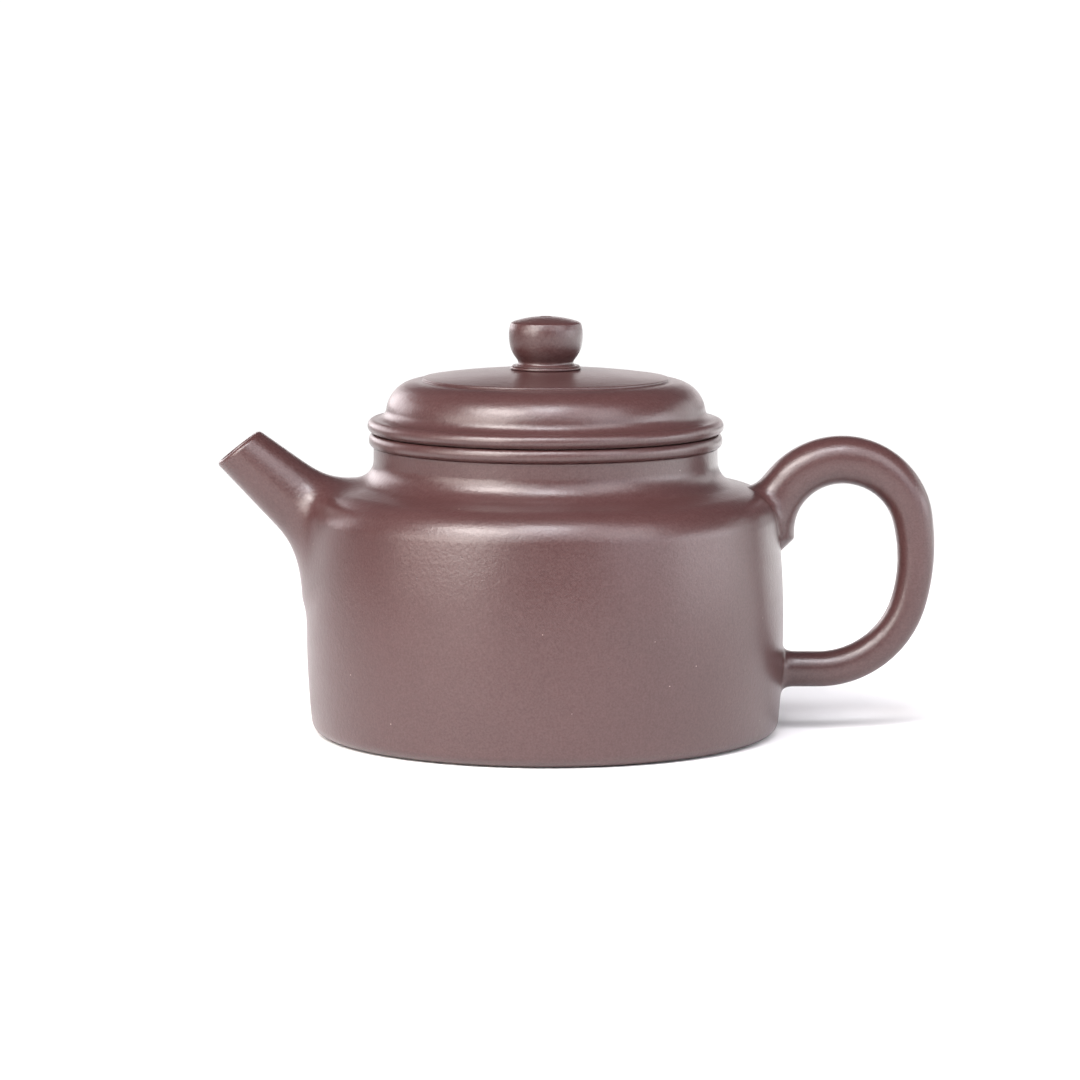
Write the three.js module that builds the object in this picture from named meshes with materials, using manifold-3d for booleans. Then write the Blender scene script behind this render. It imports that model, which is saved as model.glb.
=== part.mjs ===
// Lidded teapot of unglazed purple clay, built from its luted clay pieces.
// Millimetres, +Z up. The origin is on the pot's turning axis, in the plane that the pot stands on.
// The spout points along -X and the handle along +X. Heights are measured from the standing plane.

import * as THREE from 'three';
import { mergeVertices } from 'three/addons/utils/BufferGeometryUtils.js';
import Module from 'manifold-3d';

const wasm = await Module();
wasm.setup();

// ---- Driving dimensions, in millimetres and degrees ----

const FACETS = 40;             // facets round each large turned piece
const SMALL_FACETS = 24;       // facets round the knob and its seat
const SLAB = 2.8;              // thickness of the beaten clay slabs
const TRIM_GAP = 0.3;          // gap where a piece is trimmed to the curved pot

const WALL_RADIUS = 46.5;      // the wall at its widest
const WALL_WIDEST = 19.5;      // height of the widest place
const WALL_CURVE = 180;        // radius of the wall's slight swelling
const WALL_FOOT = 3.2;         // height where the wall stands on the base
const WALL_TOP = 41.6;         // height where the wall meets the shoulder
const FOOT_ROUND = 1.3;        // rounding between the wall and the underside

const CORNER_ROUND = 7;        // rounding between the wall and the shoulder
const SHOULDER_SLOPE = 15;     // fall of the shoulder away from the neck
const NECK_RADIUS = 33.35;     // outside of the neck
const NECK_SWEEP = 4.15;       // hollow curve between the shoulder and the neck
const NECK_SEAM = 20;          // angle on that curve where the neck is luted on

const RING_FOOT = 55.65;       // underside of the mouth ring
const RING_TOP = 58.2;         // rim that the lid rests on
const RING_SWELL = 0.9;        // how far the mouth ring stands out from the neck

const LID_REST_GAP = 0.15;     // gap between the rim and the lid's lip
const LIP_RADIUS = 34.6;       // lid at its widest
const LIP_SWELL = 1.35;        // half height and depth of the rounded lip
const LIP_FILLET = 2.2;        // hollow curve between the lip and the lid's side
const DOME_RADIUS = 24.65;     // centre of the lid's rounded side, from the axis
const DOME_ROUND = 6.4;        // radius of the lid's rounded side
const DOME_SEAM = 8;           // angle on that side where the lip is luted on
const FLANGE_CLEARANCE = 0.3;  // gap all round between the lid's flange and the neck
const FLANGE_WALL = 2.65;      // thickness of the lid's flange
const FLANGE_DEPTH = 8;        // how far the flange reaches down into the neck

const DISC_RADIUS = 23.9;      // raised disc on the lid
const DISC_EDGE = 0.5;         // height of the disc's edge
const DISC_CROWN = 165;        // radius of the disc's slight dome
const DISC_LAND = 7.2;         // flat land under the knob seat
const SEAT_RADIUS = 6.85;      // knob seat
const SEAT_HEIGHT = 0.9;       // knob seat
const VENT_RADIUS = 1;         // air hole through the knob and the lid

const SPOUT_TILT = 41;         // fall of the spout's axis from its mouth to the pot
const SPOUT_MOUTH = [-59.85, 55.3];  // centre of the spout's mouth, x and height
const SPOUT_MOUTH_TILT = 10.4; // how far the mouth is cut away from square
const SPOUT_LENGTH = 31;       // along the axis, before trimming to the pot
const SPOUT_SIDES = 24;        // facets round the spout
const SPOUT_RADIUS = 5.3;      // outside of the spout just behind its lip
const SPOUT_TAPER = 0.065;     // growth of that radius for each millimetre along it
const SPOUT_LIP = 1.1;         // rounding of the lip
const FLARE_START = 14;        // where the spout starts to spread into the pot
const FLARE_SPREAD = 0.0295;   // extra radius for each square millimetre past that place
const BORE_RADIUS = 3.9;       // spout bore at the mouth
const BORE_TAPER = 0.12;       // growth of the bore's radius for each millimetre along it
const PASSAGE_RADIUS = 6.2;    // hole through the wall behind the spout

const STRAINER_RADIUS = 9;     // outside of the ball strainer
const STRAINER_WALL = 1.6;     // thickness of the ball strainer
const STRAINER_DEPTH = 22.5;   // its centre's distance along the spout's axis
const STRAINER_HOLE = 0.9;     // radius of each hole in it

const GRIP_BEND = [37.5, 34.77, 34.66];   // outer stretch: centre x, height and radius
const TOP_BEND = 14.0;         // radius of the upper bend
const FOOT_BEND = 18.3;        // radius of the lower bend
const TOP_BEND_END = 12;       // angle where the upper bend runs into the outer stretch
const FOOT_BEND_START = -16;   // angle where the outer stretch runs into the lower bend
const HANDLE_SPRING = 137;     // angle on the upper bend where the handle leaves it for the pot
const HANDLE_ROOT = 8;         // straight length from there into the pot's shoulder
const HANDLE_THIN = 6.85;      // thickness of the handle at its foot
const HANDLE_THICK = 9.1;      // thickness of the handle at its upper root
const HANDLE_WIDEN = 1.08;     // width across the pot, for each millimetre of thickness
const HANDLE_SIDES = 16;       // facets round the handle
const TAIL_FOOT = 36.2;        // lowest point of the tail under the upper root
const TAIL_WIDTH = 8.6;        // width of the tail across the pot
const TAIL_SINK = 1.6;         // how far the tail's top sinks into the handle

// ---- Finishes of the clay ----

const clay = { color: 0x7f6462, roughness: 0.42, metalness: 0 };
const rawClay = { color: 0x77554f, roughness: 0.7, metalness: 0 };

// ---- Outline helpers: points are [distance from the axis, height] ----

function radians(degrees) {
  return degrees * Math.PI / 180;
}

function onCircle(centre, radius, angle) {
  return [centre[0] + radius * Math.cos(angle), centre[1] + radius * Math.sin(angle)];
}

// Points along an arc or an ellipse, both ends included. The angles are in radians.
function arc(centre, radiusAcross, radiusUp, from, to, steps) {
  return Array.from({ length: steps + 1 }, (_, i) => {
    const angle = from + (to - from) * i / steps;
    return [centre[0] + radiusAcross * Math.cos(angle), centre[1] + radiusUp * Math.sin(angle)];
  });
}

function roundArc(centre, radius, from, to, steps) {
  return arc(centre, radius, radius, from, to, steps);
}

// ---- Solid helpers ----

// Turns a closed outline round the pot's axis. The outline runs counter-clockwise.
function turned(outline, facets = FACETS) {
  const points = [...outline, outline[0]].map(([r, z]) => new THREE.Vector2(r, z));
  const geometry = new THREE.LatheGeometry(points, facets);
  const position = geometry.getAttribute('position');
  for (let i = 0; i < position.count; i++) {
    position.setXYZ(i, position.getX(i), -position.getZ(i), position.getY(i));
  }
  return geometry;
}

// Turns an open outline whose two ends are on the axis.
function turnedFromAxis(outline, facets = FACETS) {
  const geometry = new THREE.LatheGeometry(outline.map(([r, z]) => new THREE.Vector2(r, z)), facets);
  const position = geometry.getAttribute('position');
  for (let i = 0; i < position.count; i++) {
    position.setXYZ(i, position.getX(i), -position.getZ(i), position.getY(i));
  }
  return geometry;
}

// Sweeps a section along stations in the XZ plane. Each station has a point, the direction `up`
// (a unit [x, z] across the path) and a section: a list of [offset along up, offset along Y].
// A section may carry a third number, an offset along the path.
function swept(stations) {
  const sides = stations[0].section.length;
  const positions = [];
  for (const { point, up, section } of stations) {
    const along = [up[1], -up[0]];
    for (const [across, sideways, forward = 0] of section) {
      positions.push(
        point[0] + up[0] * across + along[0] * forward,
        sideways,
        point[1] + up[1] * across + along[1] * forward,
      );
    }
  }
  const indices = [];
  for (let s = 0; s < stations.length - 1; s++) {
    for (let k = 0; k < sides; k++) {
      const a = s * sides + k;
      const b = s * sides + (k + 1) % sides;
      indices.push(a, b + sides, b, a, a + sides, b + sides);
    }
  }
  const last = (stations.length - 1) * sides;
  for (let k = 1; k < sides - 1; k++) {
    indices.push(0, k, k + 1);
    indices.push(last, last + k + 1, last + k);
  }
  const geometry = new THREE.BufferGeometry();
  geometry.setAttribute('position', new THREE.Float32BufferAttribute(positions, 3));
  geometry.setIndex(indices);
  return geometry;
}

// A superellipse section: `halfUp` and `halfWide` are its half sizes; 2 is a plain ellipse.
function ovalSection(halfUp, halfWide, sides, squareness = 2) {
  return Array.from({ length: sides }, (_, k) => {
    const angle = 2 * Math.PI * k / sides;
    const c = Math.cos(angle);
    const s = Math.sin(angle);
    const pull = (Math.abs(c) ** squareness + Math.abs(s) ** squareness) ** (-1 / squareness);
    return [halfUp * c * pull, halfWide * s * pull];
  });
}

function solid(geometry) {
  const bare = geometry.clone();
  bare.deleteAttribute('normal');
  bare.deleteAttribute('uv');
  const merged = mergeVertices(bare, 1e-4);
  return new wasm.Manifold(new wasm.Mesh({
    numProp: 3,
    vertProperties: new Float32Array(merged.getAttribute('position').array),
    triVerts: new Uint32Array(merged.getIndex().array),
  }));
}

function geometryOf(body) {
  const mesh = body.getMesh();
  const geometry = new THREE.BufferGeometry();
  geometry.setAttribute('position', new THREE.BufferAttribute(mesh.vertProperties, 3));
  geometry.setIndex(new THREE.BufferAttribute(mesh.triVerts, 1));
  geometry.computeVertexNormals();
  return geometry;
}

function piece(name, geometry, finish) {
  const mesh = new THREE.Mesh(geometry, new THREE.MeshStandardMaterial(finish));
  mesh.name = name;
  return mesh;
}

// ---- The pot's outline, worked out from its tangent arcs ----

const wallCentre = [WALL_RADIUS - WALL_CURVE, WALL_WIDEST];
const wallFootAngle = Math.asin((WALL_FOOT - WALL_WIDEST) / WALL_CURVE);
const wallTopAngle = Math.asin((WALL_TOP - WALL_WIDEST) / WALL_CURVE);

const footAngle = Math.asin((FOOT_ROUND - WALL_WIDEST) / (WALL_CURVE - FOOT_ROUND));
const footCentre = onCircle(wallCentre, WALL_CURVE - FOOT_ROUND, footAngle);

const cornerCentre = onCircle(wallCentre, WALL_CURVE - CORNER_ROUND, wallTopAngle);
const shoulderAngle = radians(90 - SHOULDER_SLOPE);

// The shoulder's straight slope touches the corner's arc and the neck's hollow arc.
const neckCentreRadius = NECK_RADIUS + NECK_SWEEP;
const neckCentre = [
  neckCentreRadius,
  cornerCentre[1] + (CORNER_ROUND + NECK_SWEEP
    - (neckCentreRadius - cornerCentre[0]) * Math.cos(shoulderAngle)) / Math.sin(shoulderAngle),
];
const neckSlopeAngle = Math.PI + shoulderAngle;
const neckSeamAngle = Math.PI + radians(NECK_SEAM);

// The four stretches of the pot's side, moved outwards by `grow`, each from low to high.
function wallStretch(grow, steps) {
  return roundArc(wallCentre, WALL_CURVE + grow, wallFootAngle, wallTopAngle, steps);
}

function cornerStretch(grow, steps) {
  return roundArc(cornerCentre, CORNER_ROUND + grow, wallTopAngle, shoulderAngle, steps);
}

function neckSweepStretch(grow, from, to, steps) {
  return roundArc(neckCentre, NECK_SWEEP - grow, from, to, steps);
}

// The pot's whole side moved outwards by `grow`, closed on the axis, as a solid to trim with.
function potForm(grow, steps) {
  const side = [
    ...wallStretch(grow, steps),
    ...cornerStretch(grow, steps).slice(1),
    ...neckSweepStretch(grow, neckSlopeAngle, Math.PI, steps),
  ];
  const foot = side[0];
  const top = side[side.length - 1];
  return solid(turnedFromAxis([[0, foot[1]], ...side, [0, top[1]]]));
}

// ---- The pot ----

const floorHeight = onCircle(wallCentre, WALL_CURVE - SLAB, wallFootAngle)[1];

function baseDisc() {
  return turnedFromAxis([
    [0, 0],
    ...roundArc(footCentre, FOOT_ROUND, -Math.PI / 2, footAngle, 3),
    onCircle(wallCentre, WALL_CURVE, wallFootAngle),
    onCircle(wallCentre, WALL_CURVE - SLAB, wallFootAngle),
    [0, floorHeight],
  ]);
}

function bodyWall() {
  return turned([...wallStretch(0, 6), ...wallStretch(-SLAB, 4).reverse()]);
}

function shoulder() {
  return turned([
    ...cornerStretch(0, 5),
    ...neckSweepStretch(0, neckSlopeAngle, neckSeamAngle, 3),
    ...neckSweepStretch(-SLAB, neckSeamAngle, neckSlopeAngle, 3),
    ...cornerStretch(-SLAB, 3).reverse(),
  ]);
}

function neck() {
  return turned([
    ...neckSweepStretch(0, neckSeamAngle, Math.PI, 2),
    [NECK_RADIUS, RING_FOOT],
    [NECK_RADIUS - SLAB, RING_FOOT],
    ...neckSweepStretch(-SLAB, Math.PI, neckSeamAngle, 2),
  ]);
}

function mouthRing() {
  const middle = [NECK_RADIUS, (RING_FOOT + RING_TOP) / 2];
  const halfHeight = (RING_TOP - RING_FOOT) / 2;
  return turned([
    [NECK_RADIUS - SLAB, RING_FOOT],
    ...arc(middle, RING_SWELL, halfHeight, -Math.PI / 2, Math.PI / 2, 5),
    [NECK_RADIUS - SLAB, RING_TOP],
  ]);
}

// ---- The spout, its passage into the pot and the ball strainer ----

const spoutUp = [Math.sin(radians(SPOUT_TILT)), Math.cos(radians(SPOUT_TILT))];
const spoutAlong = [Math.cos(radians(SPOUT_TILT)), -Math.sin(radians(SPOUT_TILT))];
const mouthSlant = Math.tan(radians(SPOUT_MOUTH_TILT));

function alongSpout(distance) {
  return [
    SPOUT_MOUTH[0] + spoutAlong[0] * distance,
    SPOUT_MOUTH[1] + spoutAlong[1] * distance,
  ];
}

// Outer radius of the spout: a slow taper, then a flare that runs into the pot.
function spoutRadius(distance) {
  return SPOUT_RADIUS + SPOUT_TAPER * distance + FLARE_SPREAD * Math.max(0, distance - FLARE_START) ** 2;
}

// A round rod along the spout's axis. Its first end is cut on the slant of the mouth.
function spoutRod(distances, radiusAt) {
  return swept(distances.map((distance) => {
    const slant = mouthSlant * Math.max(0, 1 - distance / 12);
    const section = ovalSection(radiusAt(distance), radiusAt(distance), SPOUT_SIDES)
      .map(([up, sideways]) => [up, sideways, up * slant]);
    return { point: alongSpout(distance), up: spoutUp, section };
  }));
}

const spoutStations = [0, 0.3 * SPOUT_LIP, SPOUT_LIP, 8, FLARE_START, 17, 20, 23, 26, 28.5, SPOUT_LENGTH];

function spoutOutside(distance) {
  const short = Math.max(0, SPOUT_LIP - distance);
  return spoutRadius(distance) - SPOUT_LIP + Math.sqrt(SPOUT_LIP ** 2 - short ** 2);
}

function spoutBore(distance) {
  return BORE_RADIUS + BORE_TAPER * distance;
}

function spout() {
  const rod = solid(spoutRod(spoutStations, spoutOutside));
  const bore = solid(spoutRod([-3, SPOUT_LENGTH + 3], spoutBore));
  return geometryOf(rod.subtract(bore).subtract(potForm(TRIM_GAP, 6)));
}

const passage = solid(spoutRod([13, SPOUT_LENGTH + 8], () => PASSAGE_RADIUS));

function ballStrainer() {
  const centre = alongSpout(STRAINER_DEPTH);
  const ball = (radius) => solid(new THREE.SphereGeometry(radius, 20, 14)
    .rotateY(radians(SPOUT_TILT) - Math.PI / 2)
    .translate(centre[0], 0, centre[1]));
  let dome = ball(STRAINER_RADIUS)
    .subtract(ball(STRAINER_RADIUS - STRAINER_WALL))
    .intersect(potForm(-SLAB - TRIM_GAP, 6));
  for (const [ring, count] of [[0, 1], [20, 6], [40, 12]]) {
    for (let k = 0; k < count; k++) {
      const hole = new THREE.CylinderGeometry(STRAINER_HOLE, STRAINER_HOLE, 2 * STRAINER_RADIUS, 6)
        .translate(0, STRAINER_RADIUS, 0)
        .rotateX(radians(ring))
        .rotateY(2 * Math.PI * k / count)
        .rotateZ(-Math.PI / 2 - radians(SPOUT_TILT))
        .rotateX(Math.PI / 2)
        .translate(centre[0], 0, centre[1]);
      dome = dome.subtract(solid(hole));
    }
  }
  return geometryOf(dome);
}

// ---- The handle ----

// The three bends of the handle touch each other, so their centres follow from the outer stretch.
const gripCentre = [GRIP_BEND[0], GRIP_BEND[1]];
const topCentre = onCircle(gripCentre, GRIP_BEND[2] - TOP_BEND, radians(TOP_BEND_END));
const footBendCentre = onCircle(gripCentre, GRIP_BEND[2] - FOOT_BEND, radians(FOOT_BEND_START));

// Stations along one bend, each with its point and the direction outwards from the bend's centre.
function handleBend(centre, radius, from, to, steps) {
  return Array.from({ length: steps + 1 }, (_, i) => {
    const angle = radians(from + (to - from) * i / steps);
    return { point: onCircle(centre, radius, angle), up: [Math.cos(angle), Math.sin(angle)] };
  });
}

function handlePath() {
  const topBend = handleBend(topCentre, TOP_BEND, HANDLE_SPRING, TOP_BEND_END, 11);
  const grip = handleBend(gripCentre, GRIP_BEND[2], TOP_BEND_END, FOOT_BEND_START, 3);
  const footBend = handleBend(footBendCentre, FOOT_BEND, FOOT_BEND_START, -90, 7);
  const spring = topBend[0];
  const root = {
    point: [
      spring.point[0] - HANDLE_ROOT * spring.up[1],
      spring.point[1] + HANDLE_ROOT * spring.up[0],
    ],
    up: spring.up,
  };
  const foot = footBend[footBend.length - 1];
  const end = { point: [WALL_RADIUS - SLAB, foot.point[1]], up: foot.up };
  return [root, ...topBend, ...grip.slice(1), ...footBend.slice(1), end];
}

// The handle thins down from its upper root to the outer stretch.
function handleSolid() {
  const path = handlePath();
  const lengths = [0];
  for (let i = 1; i < path.length; i++) {
    const [a, b] = [path[i - 1].point, path[i].point];
    lengths.push(lengths[i - 1] + Math.hypot(b[0] - a[0], b[1] - a[1]));
  }
  const whole = lengths[lengths.length - 1];
  return solid(swept(path.map((station, i) => {
    const thinning = THREE.MathUtils.smoothstep(lengths[i] / whole, 0.24, 0.55);
    const half = THREE.MathUtils.lerp(HANDLE_THICK, HANDLE_THIN, thinning) / 2;
    return { ...station, section: ovalSection(half, half * HANDLE_WIDEN, HANDLE_SIDES, 2.2) };
  })));
}

// The tail carries the handle's inner curve down the wall and ends in a slanting cut.
function handleTail() {
  const inside = TOP_BEND - HANDLE_THICK / 2;
  const outline = new THREE.Shape([
    [WALL_RADIUS - SLAB, TAIL_FOOT - 2.9],
    ...arc(topCentre, inside, inside + TAIL_SINK, Math.PI, radians(HANDLE_SPRING), 5),
    ...roundArc(topCentre, TOP_BEND, radians(HANDLE_SPRING), radians(HANDLE_SPRING + 12), 1),
    [WALL_RADIUS - 2 * SLAB, topCentre[1] + 6],
  ].map(([x, z]) => new THREE.Vector2(x, z)));
  return solid(new THREE.ExtrudeGeometry(outline, { depth: TAIL_WIDTH, bevelEnabled: false })
    .translate(0, 0, -TAIL_WIDTH / 2)
    .rotateX(Math.PI / 2));
}

function handle() {
  return geometryOf(handleSolid().add(handleTail()).subtract(potForm(TRIM_GAP, 6)));
}

// ---- The lid ----

const lipFoot = RING_TOP + LID_REST_GAP;
const lipCentre = [LIP_RADIUS - LIP_SWELL, lipFoot + LIP_SWELL];
const domeSeamAngle = radians(DOME_SEAM);

// The hollow curve above the lip touches the lip's top and the lid's rounded side.
const filletCentreHeight = lipFoot + 2 * LIP_SWELL + LIP_FILLET;
const domeCentre = [
  DOME_RADIUS,
  filletCentreHeight - (DOME_ROUND + LIP_FILLET) * Math.sin(domeSeamAngle),
];
const filletCentre = onCircle(domeCentre, DOME_ROUND + LIP_FILLET, domeSeamAngle);
const lidTop = domeCentre[1] + DOME_ROUND;

const flangeRadius = NECK_RADIUS - SLAB - FLANGE_CLEARANCE;

function lidFlange() {
  const inside = flangeRadius - FLANGE_WALL;
  const bevel = 0.6;
  return turned([
    [inside, lipFoot - FLANGE_DEPTH],
    [flangeRadius - bevel, lipFoot - FLANGE_DEPTH],
    [flangeRadius, lipFoot - FLANGE_DEPTH + bevel],
    [flangeRadius, lipFoot],
    [inside, lipFoot],
  ]);
}

function lidLipRing() {
  return turned([
    [flangeRadius - FLANGE_WALL, lipFoot],
    ...roundArc(lipCentre, LIP_SWELL, -Math.PI / 2, Math.PI / 2, 5),
    ...roundArc(filletCentre, LIP_FILLET, 1.5 * Math.PI, Math.PI + domeSeamAngle, 4),
    onCircle(domeCentre, DOME_ROUND - SLAB, domeSeamAngle),
  ]);
}

function lidPlate() {
  return turned([
    ...roundArc(domeCentre, DOME_ROUND, domeSeamAngle, Math.PI / 2, 5),
    [VENT_RADIUS, lidTop],
    [VENT_RADIUS, lidTop - SLAB],
    ...roundArc(domeCentre, DOME_ROUND - SLAB, Math.PI / 2, domeSeamAngle, 4),
  ]);
}

const crownCentre = [
  0,
  lidTop + DISC_EDGE - Math.sqrt(DISC_CROWN ** 2 - DISC_RADIUS ** 2),
];

function crownHeight(radius) {
  return crownCentre[1] + Math.sqrt(DISC_CROWN ** 2 - radius ** 2);
}

function lidTopDisc() {
  const rounding = 0.3;
  const edge = DISC_RADIUS - rounding;
  const crownPoints = [1, 0.7, 0.4, 0].map((share) => {
    const radius = DISC_LAND + (edge - DISC_LAND) * share;
    return [radius, crownHeight(radius)];
  });
  return turned([
    [VENT_RADIUS, lidTop],
    [DISC_RADIUS, lidTop],
    [DISC_RADIUS, lidTop + DISC_EDGE - rounding],
    ...crownPoints,
    [VENT_RADIUS, crownHeight(DISC_LAND)],
  ]);
}

const seatFoot = crownHeight(DISC_LAND);
const knobFoot = seatFoot + SEAT_HEIGHT;

function knobSeat() {
  const middle = [SEAT_RADIUS - SEAT_HEIGHT / 2, seatFoot + SEAT_HEIGHT / 2];
  return turned([
    [VENT_RADIUS, seatFoot],
    ...roundArc(middle, SEAT_HEIGHT / 2, -Math.PI / 2, Math.PI / 2, 3),
    [VENT_RADIUS, knobFoot],
  ], SMALL_FACETS);
}

// The knob's side, from its waist to the edge of its crown, as heights above the seat.
function knobSide() {
  const side = [[5.7, 0], [5.35, 0.6], [6.2, 1.9], [7, 3.8], [7.17, 5.9], [7, 7.6], [6.35, 8.35]];
  const points = side.map(([radius, height]) => new THREE.Vector2(radius, knobFoot + height));
  return new THREE.SplineCurve(points).getPoints(11).map((point) => [point.x, point.y]);
}

function knob() {
  const crown = [[4.4, 8.95], [VENT_RADIUS, 9.4]].map(([radius, height]) => [radius, knobFoot + height]);
  return turned([[VENT_RADIUS, knobFoot], ...knobSide(), ...crown], SMALL_FACETS);
}

// ---- Assembly ----

const pot = new THREE.Group();
pot.add(
  piece('base_disc', baseDisc(), clay),
  piece('body_wall', geometryOf(solid(bodyWall()).subtract(passage)), clay),
  piece('shoulder', geometryOf(solid(shoulder()).subtract(passage)), clay),
  piece('neck', neck(), clay),
  piece('mouth_ring', mouthRing(), clay),
  piece('spout', spout(), clay),
  piece('ball_strainer', ballStrainer(), rawClay),
  piece('handle', handle(), clay),
);

const lid = new THREE.Group();
lid.add(
  piece('lid_flange', lidFlange(), rawClay),
  piece('lid_lip_ring', lidLipRing(), clay),
  piece('lid_plate', lidPlate(), clay),
  piece('lid_top_disc', lidTopDisc(), clay),
  piece('knob_seat', knobSeat(), clay),
  piece('knob', knob(), clay),
);

const teapot = new THREE.Group();
teapot.name = 'teapot';
teapot.add(pot, lid);

export default teapot;
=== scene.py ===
"""Looks of the purple clay teapot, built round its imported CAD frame.

Lengths in this file are millimetres until a mesh is made; the frame is in metres.
"""

import math

import bmesh
import bpy
import numpy as np
from mathutils import Matrix, Vector


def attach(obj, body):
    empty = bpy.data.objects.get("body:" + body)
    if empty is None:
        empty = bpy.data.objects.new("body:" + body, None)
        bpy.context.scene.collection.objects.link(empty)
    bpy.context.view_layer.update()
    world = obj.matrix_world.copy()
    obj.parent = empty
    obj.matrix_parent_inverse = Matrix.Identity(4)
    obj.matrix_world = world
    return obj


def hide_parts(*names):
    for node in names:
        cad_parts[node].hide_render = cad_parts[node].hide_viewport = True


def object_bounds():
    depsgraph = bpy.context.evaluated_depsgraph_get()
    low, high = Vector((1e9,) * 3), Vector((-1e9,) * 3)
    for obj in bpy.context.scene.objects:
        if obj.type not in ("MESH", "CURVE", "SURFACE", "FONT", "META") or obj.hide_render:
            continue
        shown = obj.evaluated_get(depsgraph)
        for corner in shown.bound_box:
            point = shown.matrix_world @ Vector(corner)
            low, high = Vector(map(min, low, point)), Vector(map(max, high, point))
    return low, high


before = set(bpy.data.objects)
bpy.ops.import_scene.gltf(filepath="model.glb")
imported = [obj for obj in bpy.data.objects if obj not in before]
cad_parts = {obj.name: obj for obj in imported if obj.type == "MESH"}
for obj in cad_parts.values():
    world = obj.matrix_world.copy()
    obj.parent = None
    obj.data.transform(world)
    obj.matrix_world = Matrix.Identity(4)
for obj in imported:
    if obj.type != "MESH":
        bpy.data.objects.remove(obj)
cad_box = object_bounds()

MM = 0.001

# ---- Driving dimensions (millimetres and degrees) ----
#
# They are the CAD part's own, apart from small refinements of the wall, foot and neck, of the
# spout's radius, taper and flare, and of the handle's thickness and the angle where it springs.

SLAB = 2.8
WALL_RADIUS, WALL_WIDEST, WALL_CURVE = 46.42, 20.2, 182.0
WALL_TOP = 41.6
FOOT_ROUND = 2.5
BASE_DISH, BASE_FLAT_RADIUS, BASE_RISE_WIDTH = 0.35, 34, 5
CORNER_ROUND, SHOULDER_SLOPE = 7.0, 15.0
NECK_RADIUS, NECK_SWEEP = 33.43, 4.7
RING_FOOT, RING_TOP, RING_SWELL = 55.65, 58.2, 0.9
LID_REST_GAP = 0.15
LIP_RADIUS, LIP_SWELL, LIP_FILLET = 34.6, 1.35, 2.2
DOME_RADIUS, DOME_ROUND, DOME_SEAM = 24.65, 6.4, 8.0
FLANGE_CLEARANCE, FLANGE_WALL, FLANGE_DEPTH = 0.3, 2.65, 8.0
DISC_RADIUS, DISC_EDGE, DISC_CROWN, DISC_LAND = 23.9, 0.5, 165.0, 7.2
SEAT_RADIUS, SEAT_HEIGHT = 6.85, 0.9
VENT_RADIUS = 1.0
SPOUT_TILT, SPOUT_MOUTH, SPOUT_MOUTH_TILT = 41.0, (-59.85, 55.3), 10.4
SPOUT_RADIUS, SPOUT_TAPER, FLARE_START = 5.1, 0.099, 15.64
BORE_RADIUS, BORE_TAPER, PASSAGE_RADIUS = 3.9, 0.12, 6.2
STRAINER_RADIUS, STRAINER_WALL, STRAINER_DEPTH, STRAINER_HOLE = 9.0, 1.6, 22.5, 0.9
GRIP_BEND = (37.5, 34.77, 34.66)  # its centre's x and z, and its radius
TOP_BEND, TOP_BEND_END = 14.0, 12.0
FOOT_BEND, FOOT_BEND_START = 18.3, -16.0
HANDLE_SPRING = 149.0
HANDLE_THIN, HANDLE_THICK, HANDLE_WIDEN = 6.85, 9.25, 1.08

TURNED_SEGMENTS, KNOB_SEGMENTS = 384, 192


def radians(degrees):
    return degrees * math.pi / 180


def on_circle(centre, radius, angle):
    return (centre[0] + radius * math.cos(angle), centre[1] + radius * math.sin(angle))


def arc(centre, radius, start, end, step=0.25):
    """Points on an arc, both ends included, no further apart than step."""
    across, up = radius if isinstance(radius, tuple) else (radius, radius)
    count = max(2, math.ceil(abs(end - start) * max(across, up) / step))
    angles = np.linspace(start, end, count + 1)
    return [(centre[0] + across * math.cos(a), centre[1] + up * math.sin(a)) for a in angles]


def line(start, end, step=1.2):
    count = max(1, math.ceil(math.dist(start, end) / step))
    return [tuple(np.add(start, np.subtract(end, start) * i / count)) for i in range(count + 1)]


def rounded(points, radii, step=0.12):
    """An open outline through the points, with each inner corner rounded to its radius."""
    out = [tuple(points[0])]
    for before, here, after, radius in zip(points, points[1:], points[2:], radii):
        if radius <= 0:
            out.append(tuple(here))
            continue
        a = np.subtract(before, here)
        b = np.subtract(after, here)
        la, lb = np.linalg.norm(a), np.linalg.norm(b)
        a, b = a / la, b / lb
        half = math.acos(max(-1, min(1, float(a @ b)))) / 2
        reach = min(radius / math.tan(half), 0.49 * la, 0.49 * lb)
        p0, p1 = np.add(here, a * reach), np.add(here, b * reach)
        count = max(3, math.ceil(reach * 2 / step))
        for i in range(count + 1):
            t = i / count
            out.append(tuple((1 - t) ** 2 * p0 + 2 * t * (1 - t) * np.array(here) + t * t * p1))
    out.append(tuple(points[-1]))
    return out


# ---- The slight drift of a pot formed by hand ----

DRIFT_RADIUS = 30  # the drift grows from nothing on the axis to its full size here


def hand_drift(x, y, z):
    """How far the clay stands out from its true turned form, at each point."""
    turn = np.arctan2(y, x)
    far = np.clip(np.hypot(x, y) / DRIFT_RADIUS, 0, 1) ** 2
    wave = 0.045 * np.sin(2 * turn + 0.9 + 0.05 * z) + 0.03 * np.sin(3 * turn - 0.6 - 0.09 * z)
    wave += 0.018 * np.sin(5 * turn + 2.2 + 0.16 * z) + 0.016 * np.sin(0.31 * z + turn)
    return far * wave


def drifted(points):
    points = np.asarray(points, float)
    x, y, z = points.T
    r = np.maximum(np.hypot(x, y), 1e-9)
    grow = 1 + hand_drift(x, y, z) / r
    return np.stack([x * grow, y * grow, z], axis=1)


# ---- Mesh helpers ----


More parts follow.
